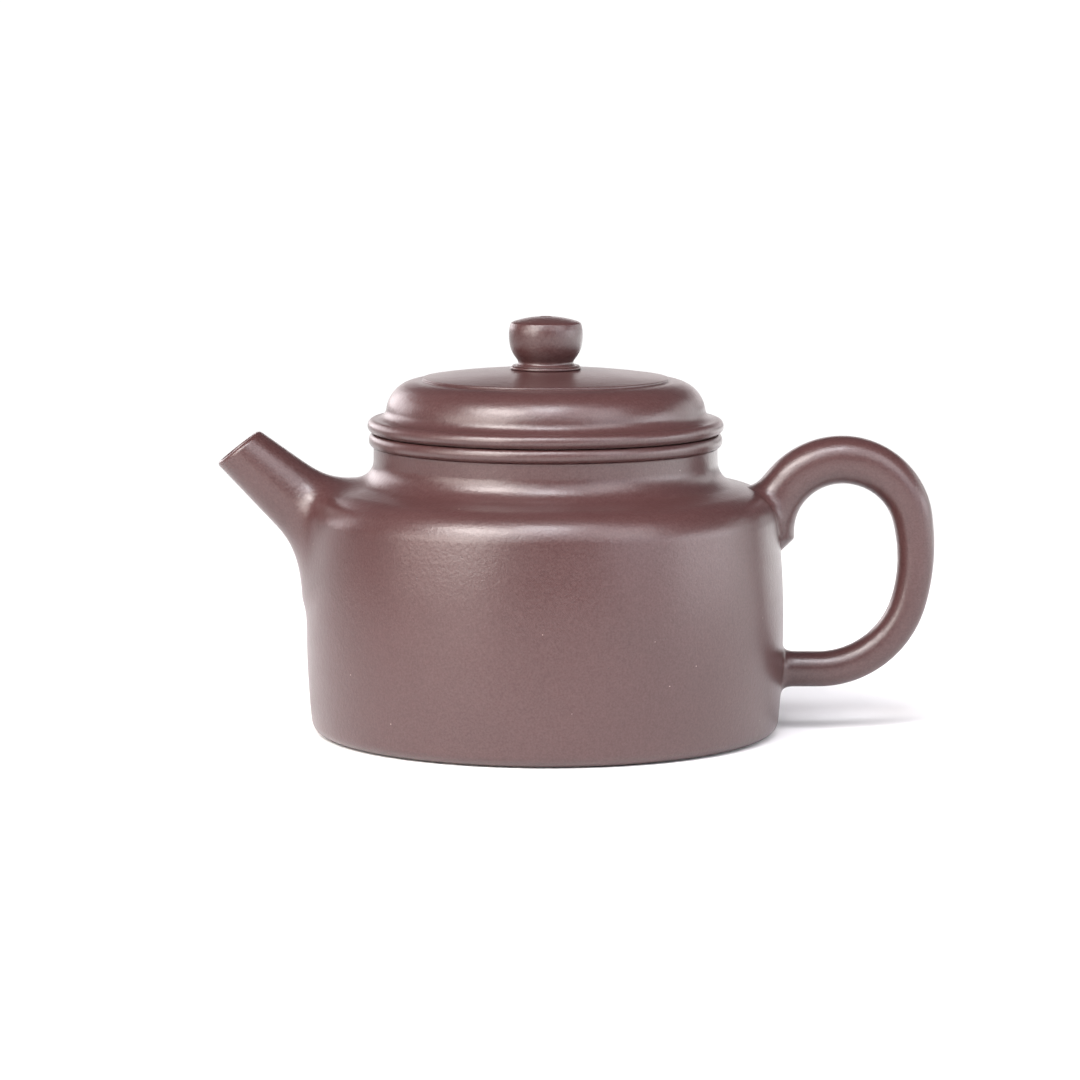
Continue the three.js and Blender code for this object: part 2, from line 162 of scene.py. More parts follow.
def volume(points, faces):
    """Six times the volume that the faces enclose, below zero if they face inwards."""
    total = 0.0
    for size in (3, 4):
        picked = np.array([f for f in faces if len(f) == size])
        if len(picked):
            a, b, c = (points[picked[:, i]] for i in range(3))
            total += np.einsum("ij,ij->i", a, np.cross(b, c)).sum()
            if size == 4:
                d = points[picked[:, 3]]
                total += np.einsum("ij,ij->i", a, np.cross(c, d)).sum()
    return total


def add_mesh(name, points, faces, materials, finish=None, normals=None):
    """A mesh object from points in millimetres. Faces are turned to face outwards."""
    points = np.asarray(points, float)
    faces = [tuple(map(int, f)) for f in faces]
    if volume(points, faces) < 0:
        faces = [f[::-1] for f in faces]
    mesh = bpy.data.meshes.new(name)
    mesh.from_pydata((points * MM).tolist(), [], faces)
    for material in materials:
        mesh.materials.append(material)
    mesh.polygons.foreach_set("use_smooth", [True] * len(faces))
    if finish is not None:
        mesh.polygons.foreach_set("material_index", finish)
    mesh.update()
    if normals is not None:
        mesh.normals_split_custom_set_from_vertices(normals.tolist())
    made = bpy.data.objects.new(name, mesh)
    bpy.context.scene.collection.objects.link(made)
    return made


def sharpen(made, degrees=38):
    """Keeps the shading crisp across edges that turn by more than this."""
    form = bmesh.new()
    form.from_mesh(made.data)
    for edge in form.edges:
        if len(edge.link_faces) == 2 and edge.calc_face_angle(0) > radians(degrees):
            edge.smooth = False
    form.to_mesh(made.data)
    form.free()


def lathe(name, outline, materials, segments, raw=None):
    """Turns a closed outline of (radius, height) points. raw(r, z) picks the faces left rough."""
    kept = [p for i, p in enumerate(outline) if math.dist(p, outline[i - 1]) > 1e-4]
    turn = np.arange(segments) * 2 * math.pi / segments
    points, rows = [], []
    for r, z in kept:
        if r < 1e-6:
            rows.append([len(points)] * segments)
            points.append((0.0, 0.0, z))
        else:
            rows.append(list(range(len(points), len(points) + segments)))
            points.extend(zip(r * np.cos(turn), r * np.sin(turn), [z] * segments))
    faces, finish = [], []
    for i in range(len(rows)):
        a, b = rows[i - 1], rows[i]
        if a[0] == a[-1] and b[0] == b[-1]:
            continue
        middle = ((kept[i - 1][0] + kept[i][0]) / 2, (kept[i - 1][1] + kept[i][1]) / 2)
        rough = int(bool(raw and raw(*middle)))
        for k in range(segments):
            n = (k + 1) % segments
            face = list(dict.fromkeys((a[k], b[k], b[n], a[n])))
            faces.append(face)
            finish.append(rough)
    made = add_mesh(name, drifted(points), faces, materials, finish)
    sharpen(made)
    return made


# ---- Distance fields for the pieces that are blended into the pot ----


def blend_min(a, b, reach):
    h = np.clip(reach - np.abs(a - b), 0, None) / reach
    return np.minimum(a, b) - h**3 * reach / 6


def round_cut(a, b, radius):
    """Where both a and b are inside, with the edge between them rounded."""
    outside = np.hypot(np.maximum(a + radius, 0), np.maximum(b + radius, 0))
    return np.minimum(np.maximum(a + radius, b + radius), 0) + outside - radius


def smoothstep(x, low, high):
    t = np.clip((x - low) / (high - low), 0, 1)
    return t * t * (3 - 2 * t)


wall_centre = (WALL_RADIUS - WALL_CURVE, WALL_WIDEST)
wall_top_angle = math.asin((WALL_TOP - WALL_WIDEST) / WALL_CURVE)
foot_angle = math.asin((FOOT_ROUND - WALL_WIDEST) / (WALL_CURVE - FOOT_ROUND))
foot_centre = on_circle(wall_centre, WALL_CURVE - FOOT_ROUND, foot_angle)
corner_centre = on_circle(wall_centre, WALL_CURVE - CORNER_ROUND, wall_top_angle)
shoulder_angle = radians(90 - SHOULDER_SLOPE)
neck_centre = (
    NECK_RADIUS + NECK_SWEEP,
    corner_centre[1]
    + (
        CORNER_ROUND
        + NECK_SWEEP
        - (NECK_RADIUS + NECK_SWEEP - corner_centre[0]) * math.cos(shoulder_angle)
    )
    / math.sin(shoulder_angle),
)


def pot_distance(p):
    """Distance from the pot's outside, negative in the clay."""
    x, y, z = p.T
    r = np.hypot(x, y) - hand_drift(x, y, z)
    rw, zw = r - wall_centre[0], z - wall_centre[1]
    rc, zc = r - corner_centre[0], z - corner_centre[1]
    rn, zn = r - neck_centre[0], z - neck_centre[1]
    along = (-math.sin(shoulder_angle), math.cos(shoulder_angle))
    out = (math.cos(shoulder_angle), math.sin(shoulder_angle))
    d = np.hypot(rw, zw) - WALL_CURVE
    past_wall = np.arctan2(zw, rw) > wall_top_angle
    d = np.where(past_wall, np.hypot(rc, zc) - CORNER_ROUND, d)
    past_corner = past_wall & (rc * along[0] + zc * along[1] > 0)
    d = np.where(past_corner, rc * out[0] + zc * out[1] - CORNER_ROUND, d)
    past_slope = past_corner & (rn * along[0] + zn * along[1] > 0)
    d = np.where(past_slope, NECK_SWEEP - np.hypot(rn, zn), d)
    return np.where(past_slope & (zn > 0), r - NECK_RADIUS, d)


def gradient(field, p, step=0.01):
    out = np.empty_like(p)
    for axis in range(3):
        shift = np.zeros(3)
        shift[axis] = step
        out[:, axis] = (field(p + shift) - field(p - shift)) / (2 * step)
    return out


BLOCK = 4  # cells a side, tested together first to find where the surface runs
BLOCKS_AT_ONCE = 4000
SETTLING_STEPS = 5


def surface_net(field, low, high, step):
    """The field's zero surface as quads, their points brought onto it, with its own normals."""
    blocks = [math.ceil((b - a) / (BLOCK * step)) for a, b in zip(low, high)]
    shape = tuple(BLOCK * n for n in blocks)
    block = np.stack(np.meshgrid(*map(np.arange, blocks), indexing="ij"), axis=-1).reshape(-1, 3)
    middle = np.array(low) + (block * BLOCK + (BLOCK - 1) / 2) * step
    rough = field(middle)
    near = block[np.abs(rough) < BLOCK * step * 1.3]
    values = np.repeat(np.repeat(np.repeat(rough.reshape(blocks), BLOCK, 0), BLOCK, 1), BLOCK, 2)
    local = np.stack(np.meshgrid(*[np.arange(BLOCK)] * 3, indexing="ij"), axis=-1).reshape(-1, 3)
    for part in np.array_split(near, 1 + len(near) // BLOCKS_AT_ONCE):
        spots = (part[:, None] * BLOCK + local[None]).reshape(-1, 3)
        values[tuple(spots.T)] = field(np.array(low) + spots * step)
    inside = values < 0
    corners = [(i, j, k) for i in (0, 1) for j in (0, 1) for k in (0, 1)]

    def shifted(a, c):
        return a[c[0] : shape[0] - 1 + c[0], c[1] : shape[1] - 1 + c[1], c[2] : shape[2] - 1 + c[2]]

    count = sum(shifted(inside, c).astype(np.int8) for c in corners)
    cells = np.argwhere((count > 0) & (count < 8))
    index = np.full(tuple(n - 1 for n in shape), -1, int)
    index[tuple(cells.T)] = np.arange(len(cells))
    at = {c: values[tuple((cells + c).T)] for c in corners}
    total, hits = np.zeros((len(cells), 3)), np.zeros(len(cells))
    for a in corners:
        for axis in range(3):
            if a[axis]:
                continue
            b = tuple(1 if i == axis else a[i] for i in range(3))
            crossed = (at[a] < 0) != (at[b] < 0)
            share = np.where(crossed, at[a] / np.where(crossed, at[a] - at[b], 1), 0)
            total += crossed[:, None] * (np.array(a) + share[:, None] * (np.array(b) - a))
            hits += crossed
    points = np.array(low) + (cells + total / hits[:, None]) * step
    faces = []
    for axis in range(3):
        u, v = (axis + 1) % 3, (axis + 2) % 3
        first = [slice(None)] * 3
        second = [slice(None)] * 3
        first[axis], second[axis] = slice(0, -1), slice(1, None)
        a, b = inside[tuple(first)], inside[tuple(second)]
        for wanted, flip in ((a & ~b, False), (~a & b, True)):
            edges = np.argwhere(wanted)
            ring = []
            for du, dv in ((-1, -1), (0, -1), (0, 0), (-1, 0)):
                cell = edges.copy()
                cell[:, u] += du
                cell[:, v] += dv
                ring.append(index[tuple(cell.T)])
            ring = np.stack(ring, axis=1)
            faces.append(ring[:, ::-1] if flip else ring)
    faces = np.concatenate(faces)
    for _ in range(SETTLING_STEPS):
        slope = gradient(field, points)
        steep = np.maximum((slope**2).sum(1), 0.25)
        move = -(field(points) / steep)[:, None] * slope
        size = np.linalg.norm(move, axis=1, keepdims=True)
        points = points + move * np.minimum(1, 0.5 * step / np.maximum(size, 1e-9))
    slope = gradient(field, points)
    normals = slope / np.maximum(np.linalg.norm(slope, axis=1, keepdims=True), 1e-9)
    return points, faces, normals


# ---- Clay ----
#
# Noise scales are per metre, because object coordinates are metres. Grain, scraping and pits are
# depths in millimetres, and the sizes of specks are millimetres too.

CLAY_IOR, CLAY_SPECULAR = 1.5, 0.66
PIT_DEPTH = 0.023


def node(tree, kind, inputs=None, **settings):
    made = tree.nodes.new(kind)
    for key, value in settings.items():
        setattr(made, key, value)
    for key, value in (inputs or {}).items():
        if isinstance(value, bpy.types.NodeSocket):
            tree.links.new(value, made.inputs[key])
        else:
            made.inputs[key].default_value = value
    return made


def stretched(tree, vector, scale):
    inputs = {0: vector, 1: scale}
    return node(tree, "ShaderNodeVectorMath", inputs, operation="MULTIPLY").outputs[0]


def noise(tree, vector, scale, detail=2.0, rough=0.5):
    made = node(
        tree,
        "ShaderNodeTexNoise",
        {"Vector": vector, "Scale": scale, "Detail": detail, "Roughness": rough},
    )
    return made.outputs["Fac"]


def ranged(tree, value, low, high, to_low, to_high):
    inputs = {"Value": value, 1: low, 2: high, 3: to_low, 4: to_high}
    return node(tree, "ShaderNodeMapRange", inputs).outputs[0]


def maths(tree, kind, a, b=0.0):
    return node(tree, "ShaderNodeMath", {0: a, 1: b}, operation=kind).outputs[0]


def mixed(tree, share, a, b):
    made = node(tree, "ShaderNodeMix", {0: share}, data_type="RGBA")
    for key, value in ((6, a), (7, b)):
        if isinstance(value, bpy.types.NodeSocket):
            tree.links.new(value, made.inputs[key])
        else:
            made.inputs[key].default_value = (*value, 1)
    return made.outputs[2]


def specks(tree, vector, cell, size, share, seed):
    """1 inside small round specks, one in a share of the cells, else 0."""
    moved = node(tree, "ShaderNodeVectorMath", {0: vector, 1: (seed, seed * 0.7, seed * 0.4)})
    inputs = {"Vector": moved.outputs[0], "Scale": 1 / (cell * MM)}
    cells = node(tree, "ShaderNodeTexVoronoi", inputs)
    spot = ranged(tree, cells.outputs["Distance"], size / cell * 0.6, size / cell, 1.0, 0.0)
    split = node(tree, "ShaderNodeSeparateColor", {0: cells.outputs["Color"]})
    chosen = maths(tree, "LESS_THAN", split.outputs[0], share)
    return maths(tree, "MULTIPLY", spot, chosen)


def clay_material(name, dark, light, roughness, grain, scrape):
    """Unglazed clay with a fine grain, sand, a few pits and specks, and faintly uneven colour."""
    material = bpy.data.materials.new(name)
    material.use_nodes = True
    tree = material.node_tree
    tree.nodes.clear()
    place = node(tree, "ShaderNodeTexCoord").outputs["Object"]

    broad = noise(tree, place, 55, 3, 0.55)
    sand = noise(tree, place, 2600, 2, 0.6)
    colour = mixed(tree, ranged(tree, broad, 0.3, 0.7, 0.2, 0.8), dark, light)
    darker = mixed(tree, 0.1, colour, (0, 0, 0))
    paler = mixed(tree, 0.04, colour, (0.45, 0.36, 0.33))
    colour = mixed(tree, ranged(tree, sand, 0.32, 0.68, 0, 1), darker, paler)
    pale_specks = specks(tree, place, 2.6, 0.14, 0.16, 0.31)
    dark_specks = specks(tree, place, 2.1, 0.15, 0.18, 1.7)
    colour = mixed(tree, maths(tree, "MULTIPLY", pale_specks, 0.6), colour, (0.5, 0.38, 0.34))
    colour = mixed(tree, maths(tree, "MULTIPLY", dark_specks, 0.75), colour, (0.02, 0.012, 0.012))

    fine = noise(tree, place, 1900, 3, 0.6)
    peel = noise(tree, place, 800, 2, 0.5)
    strokes = noise(tree, stretched(tree, place, (90, 90, 620)), 1, 3, 0.6)
    height = maths(tree, "MULTIPLY", fine, grain)
    height = maths(tree, "ADD", height, maths(tree, "MULTIPLY", peel, grain))
    height = maths(tree, "ADD", height, maths(tree, "MULTIPLY", strokes, scrape))
    height = maths(tree, "SUBTRACT", height, maths(tree, "MULTIPLY", dark_specks, PIT_DEPTH))
    bump = node(tree, "ShaderNodeBump", {"Strength": 1.0, "Distance": MM, "Height": height})

    sheen = noise(tree, stretched(tree, place, (60, 60, 160)), 1, 3, 0.6)
    dull = ranged(tree, sheen, 0.3, 0.7, roughness - 0.02, roughness + 0.03)
    grit = maths(tree, "MULTIPLY", ranged(tree, sand, 0.3, 0.7, -1, 1), 0.004)
    dull = maths(tree, "ADD", dull, grit)
    shader = node(
        tree,
        "ShaderNodeBsdfPrincipled",
        {
            "Base Color": colour,
            "Roughness": dull,
            "IOR": CLAY_IOR,
            "Specular IOR Level": CLAY_SPECULAR,
            "Normal": bump.outputs[0],
        },
    )
    out = node(tree, "ShaderNodeOutputMaterial", {"Surface": shader.outputs[0]})
    out.is_active_output = True
    return material


clay = clay_material(
    "purple_clay",
    dark=(0.042, 0.0136, 0.0135),
    light=(0.052, 0.0178, 0.0175),
    roughness=0.31,
    grain=0.038,
    scrape=0.006,
)
raw_clay = clay_material(
    "raw_clay",
    dark=(0.052, 0.0195, 0.0185),
    light=(0.066, 0.026, 0.024),
    roughness=0.6,
    grain=0.022,
    scrape=0.03,
)
finishes = [clay, raw_clay]


# ---- The pot ----

HOLLOW_FLOOR, HOLLOW_FLOOR_ROUND, HOLLOW_FLOOR_INSET = 3.4, 4, 4.1
HOLLOW_FOOT_ANGLE = -0.068  # where the inside of the wall runs into the rounding of the floor


def in_pot(r, z):
    """Whether a place on the outline is inside the pot, where the clay is left rough."""
    in_wall = r < WALL_RADIUS - 1.2 and 1.5 < z < 40
    return in_wall or (r < NECK_RADIUS - 1 and z > 1.5)


pot_outline = [
    (0, BASE_DISH),
    *line((12, BASE_DISH), (BASE_FLAT_RADIUS, BASE_DISH), 3),
    *[
        (BASE_FLAT_RADIUS + BASE_RISE_WIDTH * t, BASE_DISH * (1 - t * t * (3 - 2 * t)))
        for t in np.linspace(0.1, 1, 10)
    ],
    *arc(foot_centre, FOOT_ROUND, -math.pi / 2, foot_angle, 0.15),
    *arc(wall_centre, WALL_CURVE, foot_angle, wall_top_angle, 0.8),
    *arc(corner_centre, CORNER_ROUND, wall_top_angle, shoulder_angle, 0.2),
    *arc(neck_centre, NECK_SWEEP, math.pi + shoulder_angle, math.pi),
    *line((NECK_RADIUS, neck_centre[1]), (NECK_RADIUS, RING_FOOT - 0.45)),
    *arc((NECK_RADIUS + 0.25, RING_FOOT - 0.3), (0.25, 0.3), math.pi, math.pi / 2, 0.08),
    (NECK_RADIUS - SLAB, RING_FOOT),
    *line((NECK_RADIUS - SLAB, RING_FOOT), (NECK_RADIUS - SLAB, neck_centre[1])),
    *arc(neck_centre, NECK_SWEEP + SLAB, math.pi, math.pi + shoulder_angle),
    *arc(corner_centre, CORNER_ROUND - SLAB, shoulder_angle, wall_top_angle),
    *arc(wall_centre, WALL_CURVE - SLAB, wall_top_angle, HOLLOW_FOOT_ANGLE, 0.8),
    *arc(
        (WALL_RADIUS - SLAB - HOLLOW_FLOOR_INSET, HOLLOW_FLOOR + HOLLOW_FLOOR_ROUND),
        HOLLOW_FLOOR_ROUND,
        0,
        -math.pi / 2,
    ),
    *line((WALL_RADIUS - SLAB - 7, HOLLOW_FLOOR), (0, HOLLOW_FLOOR), 4),
]
pot_shell = lathe("pot_shell", pot_outline, finishes, TURNED_SEGMENTS, in_pot)

ring_middle = (NECK_RADIUS, (RING_FOOT + RING_TOP) / 2)
ring_half = (RING_TOP - RING_FOOT) / 2
mouth_ring = lathe(
    "mouth_ring_fine",
    [
        *rounded(
            [
                (NECK_RADIUS - 1, RING_TOP),
                (NECK_RADIUS - SLAB, RING_TOP),
                (NECK_RADIUS - SLAB, RING_FOOT),
                (NECK_RADIUS, RING_FOOT),
            ],
            [0.5, 0],
        ),
        *arc(ring_middle, (RING_SWELL, ring_half), -math.pi / 2, math.pi / 2, 0.1),
    ],
    finishes,
    TURNED_SEGMENTS,
)


# ---- The spout ----

spout_up = (math.sin(radians(SPOUT_TILT)), math.cos(radians(SPOUT_TILT)))
spout_along = (math.cos(radians(SPOUT_TILT)), -math.sin(radians(SPOUT_TILT)))
SPOUT_BLEND_UNDER, SPOUT_BLEND_OVER = 6.0, 9.4  # reach of the blend into the pot
SPOUT_SINK, SPOUT_FEATHER = 0.004, 0.25  # how deep its root lies in the pot, and more at its edge
SPOUT_ROOT_DEPTH, SPOUT_EDGE = 1.4, 1.6  # how far the root goes into the wall and past the blend
FLARE_SPREAD_UNDER, FLARE_SPREAD_OVER = 0.0284, 0.0213
FLARE_LENGTH, FLARE_FADE = 12.95, 1.37  # along the spout: the flare, and its end
SPOUT_LIP_OUTSIDE, SPOUT_LIP_INSIDE = 0.75, 0.5
SPOUT_SPACE = (-68, -34.1, -6.1), (-20, 34.2, 64)
SPOUT_STEP = 0.26


def along_spout(distance):
    return (SPOUT_MOUTH[0] + spout_along[0] * distance, SPOUT_MOUTH[1] + spout_along[1] * distance)


def spout_place(p):
    """Distance along the spout's axis, above it, and away from it."""
    x, y, z = p[:, 0] - SPOUT_MOUTH[0], p[:, 1], p[:, 2] - SPOUT_MOUTH[1]
    s = x * spout_along[0] + z * spout_along[1]
    up = x * spout_up[0] + z * spout_up[1]
    return s, up, np.hypot(up, y)


def spout_field(p):
    """Distance from the spout, whose root spreads and blends into the wall and shoulder."""
    s, up, rho = spout_place(p)
    pot = pot_distance(p)
    flare = np.clip(s - FLARE_START, 0, FLARE_LENGTH)
    past = np.clip(s - FLARE_START - FLARE_LENGTH, 0, FLARE_FADE)
    over = smoothstep(up / np.maximum(rho, 1e-6), -0.8, 0.9)
    spread = FLARE_SPREAD_UNDER + (FLARE_SPREAD_OVER - FLARE_SPREAD_UNDER) * over
    slope = SPOUT_TAPER + 2 * spread * flare * (1 - past / FLARE_FADE)
    widened = flare**2 + 2 * flare * (past - past**2 / (2 * FLARE_FADE))
    radius = SPOUT_RADIUS + SPOUT_TAPER * s + spread * widened
    side = (rho - radius) / np.sqrt(1 + slope**2)
    reach = SPOUT_BLEND_UNDER + (SPOUT_BLEND_OVER - SPOUT_BLEND_UNDER) * over
    deeper = SPOUT_SINK + SPOUT_FEATHER * smoothstep(side - reach, -0.6, 1.2)
    body = blend_min(side, pot + deeper, reach)
    tilt = radians(SPOUT_MOUTH_TILT)
    mouth = (up * math.tan(tilt) - s) * math.cos(tilt)
    body = round_cut(body, mouth, SPOUT_LIP_OUTSIDE)
    body = round_cut(body, BORE_RADIUS + BORE_TAPER * s - rho, SPOUT_LIP_INSIDE)
    body = np.maximum(body, -(pot + SPOUT_ROOT_DEPTH))
    return np.maximum(body, side - reach - SPOUT_EDGE)


points, faces, normals = surface_net(spout_field, *SPOUT_SPACE, SPOUT_STEP)
spout = add_mesh("spout_fine", points, faces, [clay], normals=normals)


# ---- The handle ----

TAIL_CORNER, TAIL_CUT, TAIL_EDGE = (48.5, 37.75), 44.0, 0.3
TAIL_INSET = 3  # how far short of the top bend's centre the tail stops
TAIL_LEAN, TAIL_LEAN_DEPTH = 0.03, 4  # its curve out from the wall, and how far down that goes
TAIL_NARROWING, TAIL_NARROWING_DEPTH = 0.035, 7  # share of its width lost per mm, and how far down
TAIL_END_BULGE = 14  # the smaller, the rounder its slanting end is across
UPPER_BLEND, UPPER_SINK = 6.0, 0.45
LOWER_BLEND, LOWER_SINK = 3.2, 0.02
LOWER_ROOT_TOP = 26  # the lower root's values hold below this height
ROOT_LENGTH, END_LENGTH = 8.0, 9.5  # of the straight stretches that run into the pot
HANDLE_FEATHER, FEATHER_START = 0.5, 3.6  # how much deeper the root's edge lies, and from where
HANDLE_ROOT_DEPTH, HANDLE_EDGE = 1.6, 5.5  # how far the root goes into the wall and along it
THINNING = 0.24, 0.62  # the shares of the bar's length between which it thins
SQUARENESS = 2.3  # of the bar's section: 2 is round
HANDLE_SPACE = (31.1, -15.2, 0.1), (78, 15.3, 60.6)
HANDLE_STEP = 0.28

grip_centre = (GRIP_BEND[0], GRIP_BEND[1])
top_centre = on_circle(grip_centre, GRIP_BEND[2] - TOP_BEND, radians(TOP_BEND_END))
foot_bend_centre = on_circle(grip_centre, GRIP_BEND[2] - FOOT_BEND, radians(FOOT_BEND_START))

top_length = TOP_BEND * radians(HANDLE_SPRING - TOP_BEND_END)
grip_length = GRIP_BEND[2] * radians(TOP_BEND_END - FOOT_BEND_START)
foot_length = FOOT_BEND * radians(90 + FOOT_BEND_START)
whole_length = ROOT_LENGTH + top_length + grip_length + foot_length + END_LENGTH


def along_bend(x, z, centre, radius, start, end):
    """Offset outwards from a bend, distance from it, and distance along it from start."""
    angle = np.arctan2(z - centre[1], x - centre[0])
    angle = np.where(angle < radians(-120), angle + 2 * math.pi, angle)
    clamped = np.clip(angle, radians(min(start, end)), radians(max(start, end)))
    rho = np.hypot(x - centre[0], z - centre[1])
    foot_x, foot_z = centre[0] + radius * np.cos(clamped), centre[1] + radius * np.sin(clamped)
    gap = np.hypot(x - foot_x, z - foot_z)
    return rho - radius, gap, (radians(start) - clamped) * radius


def along_line(x, z, start, direction, up, length):
    """Offset towards up from a straight stretch, distance from it, and distance along it."""
    dx, dz = x - start[0], z - start[1]
    run = dx * direction[0] + dz * direction[1]
    offset = dx * up[0] + dz * up[1]
    past = np.maximum(run - length, 0) + np.maximum(-run, 0)
    return offset, np.hypot(offset, past), run


def bar_distance(offset, y, half, wide):
    """Distance from a bar whose section is a rounded square, half thick and wide each way."""
    r = np.hypot(offset, y)
    q = (np.abs(offset / half) ** SQUARENESS + np.abs(y / wide) ** SQUARENESS) ** (1 / SQUARENESS)
    return r - r / np.maximum(q, 1e-6)


def handle_half(run):
    """Half the bar's thickness, which falls away from the upper root."""
    thin = smoothstep(run / whole_length, *THINNING)
    return (HANDLE_THICK + (HANDLE_THIN - HANDLE_THICK) * thin) / 2


def handle_bar(p):
    """Distance from the handle's bent bar."""
    x, y, z = p.T
    spring = radians(HANDLE_SPRING)
    up = (math.cos(spring), math.sin(spring))
    start = on_circle(top_centre, TOP_BEND, spring)
    inward = (-up[1], up[0])
    offset, gap, run = along_line(x, z, start, inward, up, 30)
    run = ROOT_LENGTH - run
    stretches = [
        (top_centre, TOP_BEND, HANDLE_SPRING, TOP_BEND_END, ROOT_LENGTH),
        (grip_centre, GRIP_BEND[2], TOP_BEND_END, FOOT_BEND_START, ROOT_LENGTH + top_length),
        (foot_bend_centre, FOOT_BEND, FOOT_BEND_START, -90, ROOT_LENGTH + top_length + grip_length),
    ]
    for centre, radius, begin, end, before in stretches:
        o, g, r = along_bend(x, z, centre, radius, begin, end)
        nearer = g < gap
        offset = np.where(nearer, o, offset)
        gap = np.where(nearer, g, gap)
        run = np.where(nearer, r + before, run)
    low = (foot_bend_centre[0], foot_bend_centre[1] - FOOT_BEND)
    o, g, r = along_line(x, z, low, (-1, 0), (0, -1), 30)
    nearer = g < gap
    offset = np.where(nearer, o, offset)
    run = np.where(nearer, r + whole_length - END_LENGTH, run)
    half = handle_half(run)
    return bar_distance(offset, y, half, half * HANDLE_WIDEN)


def handle_tail(p):
    """Distance from the tail that carries the upper root down the wall to its slanting cut."""
    x, y, z = p.T
    half = HANDLE_THICK / 2
    down = top_centre[1] - z
    offset, _, _ = along_bend(x, z, top_centre, TOP_BEND, 180, 60)
    lean = TAIL_LEAN * np.clip(down, 0, TAIL_LEAN_DEPTH) ** 2
    offset = np.where(down > 0, top_centre[0] - TOP_BEND - x + lean, offset)
    narrowing = 1 - TAIL_NARROWING * np.clip(down, 0, TAIL_NARROWING_DEPTH)
    bar = bar_distance(offset, y, half, half * HANDLE_WIDEN * narrowing)
    return np.maximum(bar, x - top_centre[0] + TAIL_INSET)


def tail_cut(p):
    """Distance past the tail's slanting end, which is rounded across its width."""
    x, y, z = p.T
    cut = radians(TAIL_CUT)
    slant = (x - TAIL_CORNER[0]) * math.sin(cut) - (z - TAIL_CORNER[1]) * math.cos(cut)
    return slant + y**2 / TAIL_END_BULGE


def handle_field(p):
    """Distance from the handle with both its roots blended into the pot."""
    pot = pot_distance(p)
    low_part = p[:, 2] < LOWER_ROOT_TOP
    bar = handle_bar(p)
    bar = np.where(low_part, bar, np.minimum(bar, handle_tail(p)))
    reach = np.where(low_part, LOWER_BLEND, UPPER_BLEND)
    sink = np.where(low_part, LOWER_SINK, UPPER_SINK)
    deeper = sink + HANDLE_FEATHER * smoothstep(bar, FEATHER_START, HANDLE_EDGE)
    body = blend_min(bar, pot + deeper, reach)
    near_tail = (p[:, 0] < TAIL_CORNER[0] + 7.5) & ~low_part
    body = np.where(near_tail, round_cut(body, tail_cut(p), TAIL_EDGE), body)
    body = np.maximum(body, -(pot + HANDLE_ROOT_DEPTH))
    return np.maximum(body, bar - HANDLE_EDGE)


points, faces, normals = surface_net(handle_field, *HANDLE_SPACE, HANDLE_STEP)
handle = add_mesh("handle_fine", points, faces, [clay], normals=normals)


# ---- The ball strainer, and the hole in the wall behind the spout ----

PASSAGE_START, PASSAGE_END = 11, 36  # along the spout's axis
STRAINER_RINGS = ((0, 1), (20, 6), (40, 12))  # angle from the axis, and number of holes
STRAINER_STEP = 0.2


def cutter(name, start, end, radius, sides):
    """A round bar between two points, to cut with."""
    a, b = Vector(start), Vector(end)
    form = bmesh.new()
    bmesh.ops.create_cone(
        form, cap_ends=True, segments=sides, radius1=radius, radius2=radius, depth=(b - a).length
    )
    turn = (b - a).to_track_quat("Z", "Y").to_matrix().to_4x4()
    bmesh.ops.transform(form, matrix=Matrix.Translation((a + b) / 2) @ turn, verts=form.verts)
    bmesh.ops.scale(form, vec=(MM, MM, MM), verts=form.verts)
    mesh = bpy.data.meshes.new(name)
    form.to_mesh(mesh)
    form.free()
    made = bpy.data.objects.new(name, mesh)
    bpy.context.scene.collection.objects.link(made)
    return made


def apply_modifiers(made):
    graph = bpy.context.evaluated_depsgraph_get()
    mesh = bpy.data.meshes.new_from_object(made.evaluated_get(graph))
    made.modifiers.clear()
    made.data = mesh


def cut_away(made, tools):
    for tool in tools:
        change = made.modifiers.new("cut", "BOOLEAN")
        change.operation = "DIFFERENCE"
        change.solver = "EXACT"
        change.object = tool
        tool.hide_render = True
    apply_modifiers(made)
    for tool in tools:
        bpy.data.objects.remove(tool)


def in_space(point):
    """The place of an (x, z) point of the pot's middle plane."""
    return (point[0], 0.0, point[1])


passage_ends = in_space(along_spout(PASSAGE_START)), in_space(along_spout(PASSAGE_END))
cut_away(pot_shell, [cutter("passage", *passage_ends, PASSAGE_RADIUS, 64)])
sharpen(pot_shell)

strainer_centre = np.array(in_space(along_spout(STRAINER_DEPTH)))
axis = np.array([spout_along[0], 0, spout_along[1]])
side_a = np.array([spout_up[0], 0, spout_up[1]])
side_b = np.array([0, 1.0, 0])
hole_ways = []
for ring, count in STRAINER_RINGS:
    for k in range(count):
        tilt, turn = radians(ring), 2 * math.pi * k / count
        across = math.cos(turn) * side_a + math.sin(turn) * side_b
        hole_ways.append(math.cos(tilt) * axis + math.sin(tilt) * across)
hole_ways = np.array(hole_ways)


def strainer_field(p):
    """Distance from the pierced dome, which is cut off where it meets the inside of the wall."""
    v = p - strainer_centre
    far = np.linalg.norm(v, axis=1)
    shell = round_cut(far - STRAINER_RADIUS, STRAINER_RADIUS - STRAINER_WALL - far, 0.25)
    shell = np.maximum(shell, pot_distance(p) + SLAB - 0.1)
    run = v @ hole_ways.T
    off = np.sqrt(np.maximum(far[:, None] ** 2 - run**2, 0))
    off = np.where(run > 0, off, 99).min(1)
    return round_cut(shell, STRAINER_HOLE - off, 0.2)


